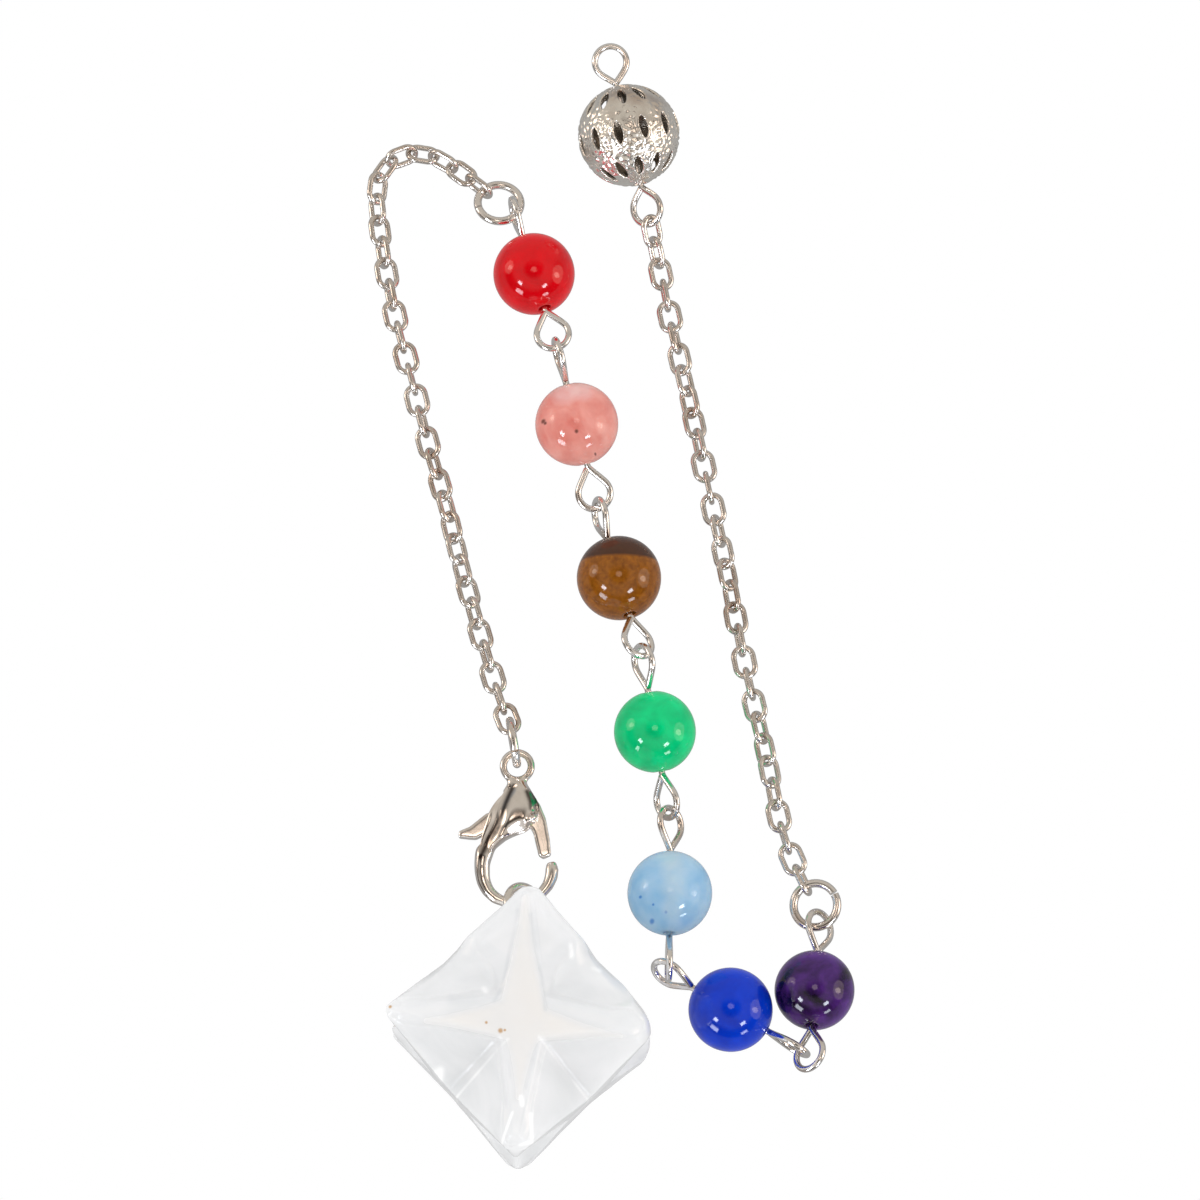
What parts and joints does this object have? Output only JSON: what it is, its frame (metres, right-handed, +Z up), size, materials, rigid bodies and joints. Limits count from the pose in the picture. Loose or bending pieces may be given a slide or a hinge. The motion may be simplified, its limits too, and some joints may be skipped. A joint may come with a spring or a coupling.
{
  "type": "dowsing pendulum pendant",
  "caption": "Dowsing pendulum laid flat: a carved quartz star on a lobster clasp, a chain, a strand of round stone beads on looped pins and a pierced metal ball as the grip.",
  "frame": {"origin": "on the table, under the middle of the laid-out outline", "axes": "+Y away from the viewer, from the star to the ball; +Z up from the table; +X to the viewer's right"},
  "size_m": [0.0468, 0.1095, 0.0184],
  "materials": {
    "quartz": "clear quartz with frosted ground flats",
    "red_stone": "polished, dyed",
    "pink_stone": "polished, cloudy",
    "brown_stone": "polished, banded tiger's eye",
    "green_stone": "polished, cloudy",
    "sky_stone": "polished, cloudy",
    "blue_stone": "polished, cloudy",
    "purple_stone": "polished, part clear",
    "pin_wire": "polished nickel plate",
    "ring_metal": "polished nickel plate",
    "chain_metal": "nickel plate, softly worn",
    "clasp_metal": "polished nickel plate",
    "filigree_metal": "polished, stamped openwork"
  },
  "bodies": {
    "pendulum": {"star": "quartz", "star_ring": "ring_metal", "clasp_body": "clasp_metal", "clasp_rivet": "clasp_metal", "clasp_ring": "ring_metal", "drop_chain": "chain_metal", "upper_ring": "ring_metal", "bead_red": "red_stone", "bead_pink": "pink_stone", "bead_brown": "brown_stone", "bead_green": "green_stone", "bead_sky": "sky_stone", "bead_blue": "blue_stone", "bead_purple": "purple_stone", "pin_red": "pin_wire", "pin_pink": "pin_wire", "pin_brown": "pin_wire", "pin_green": "pin_wire", "pin_sky": "pin_wire", "pin_blue": "pin_wire", "pin_purple": "pin_wire", "lower_ring": "ring_metal", "grip_chain": "chain_metal", "ball": "filigree_metal", "ball_pin": "pin_wire"},
    "lever": {"clasp_lever": "clasp_metal"}
  },
  "joints": [
    {"name": "lever_hinge", "type": "hinge", "parent": "pendulum", "child": "lever", "pos_m": [-0.00731, -0.02031, 0.00165], "axis": [0, 0, 1], "range_deg": [-20, 0], "stiffness_Nm_per_rad": 0.001}
  ]
}
